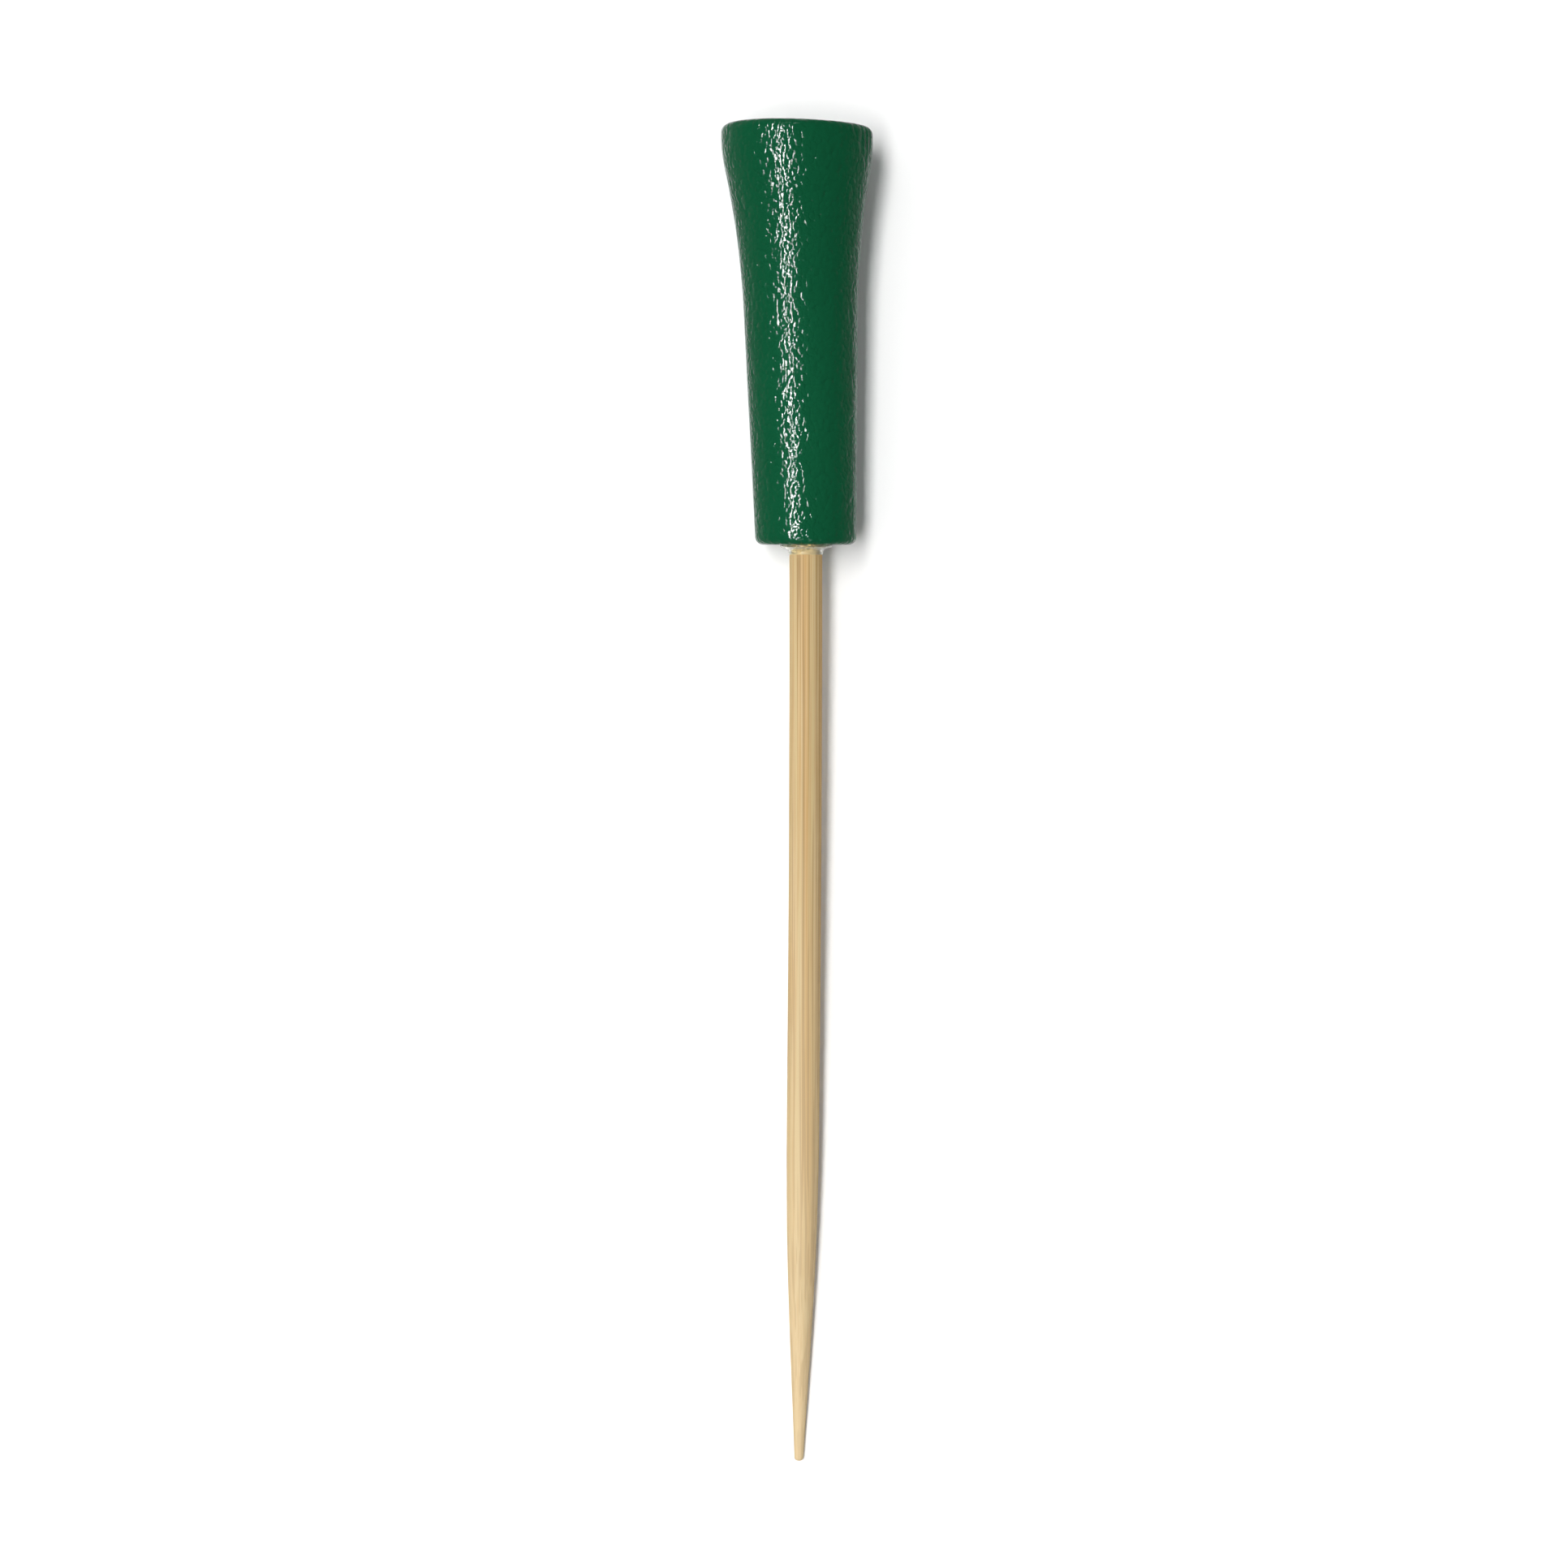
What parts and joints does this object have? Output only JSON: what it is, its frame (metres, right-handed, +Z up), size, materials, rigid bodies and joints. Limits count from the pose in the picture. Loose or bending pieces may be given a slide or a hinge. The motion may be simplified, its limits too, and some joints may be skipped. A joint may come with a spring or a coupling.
{
  "type": "food pick",
  "caption": "Cocktail pick shaped like a golf tee: a flared, lacquered turned wooden head glued onto a round bamboo skewer that tapers to a blunt point.",
  "frame": {"origin": "centre of the bottom of the bounding box: the pick lies at rest on Z = 0 on its rim and its point", "axes": "+Y from the point to the head, +Z up, X across; the pick's own axis lies in X = 0 and rises 3.1 degrees towards the head"},
  "size_m": [0.0136, 0.1202, 0.0136],
  "materials": {
    "head_wood": "plain turned hardwood, unfinished, under the lacquer",
    "lacquer": "dark green gloss lacquer, dipped, with fine ripple",
    "bamboo": "plain bamboo with long fine fibres, dry and matt",
    "glue": "clear glue with a green tint, glossy"
  },
  "bodies": {
    "root": {"head_core": "head_wood", "lacquer_coat": "lacquer", "bamboo_skewer": "bamboo", "glue_bond": "glue"}
  },
  "joints": []
}
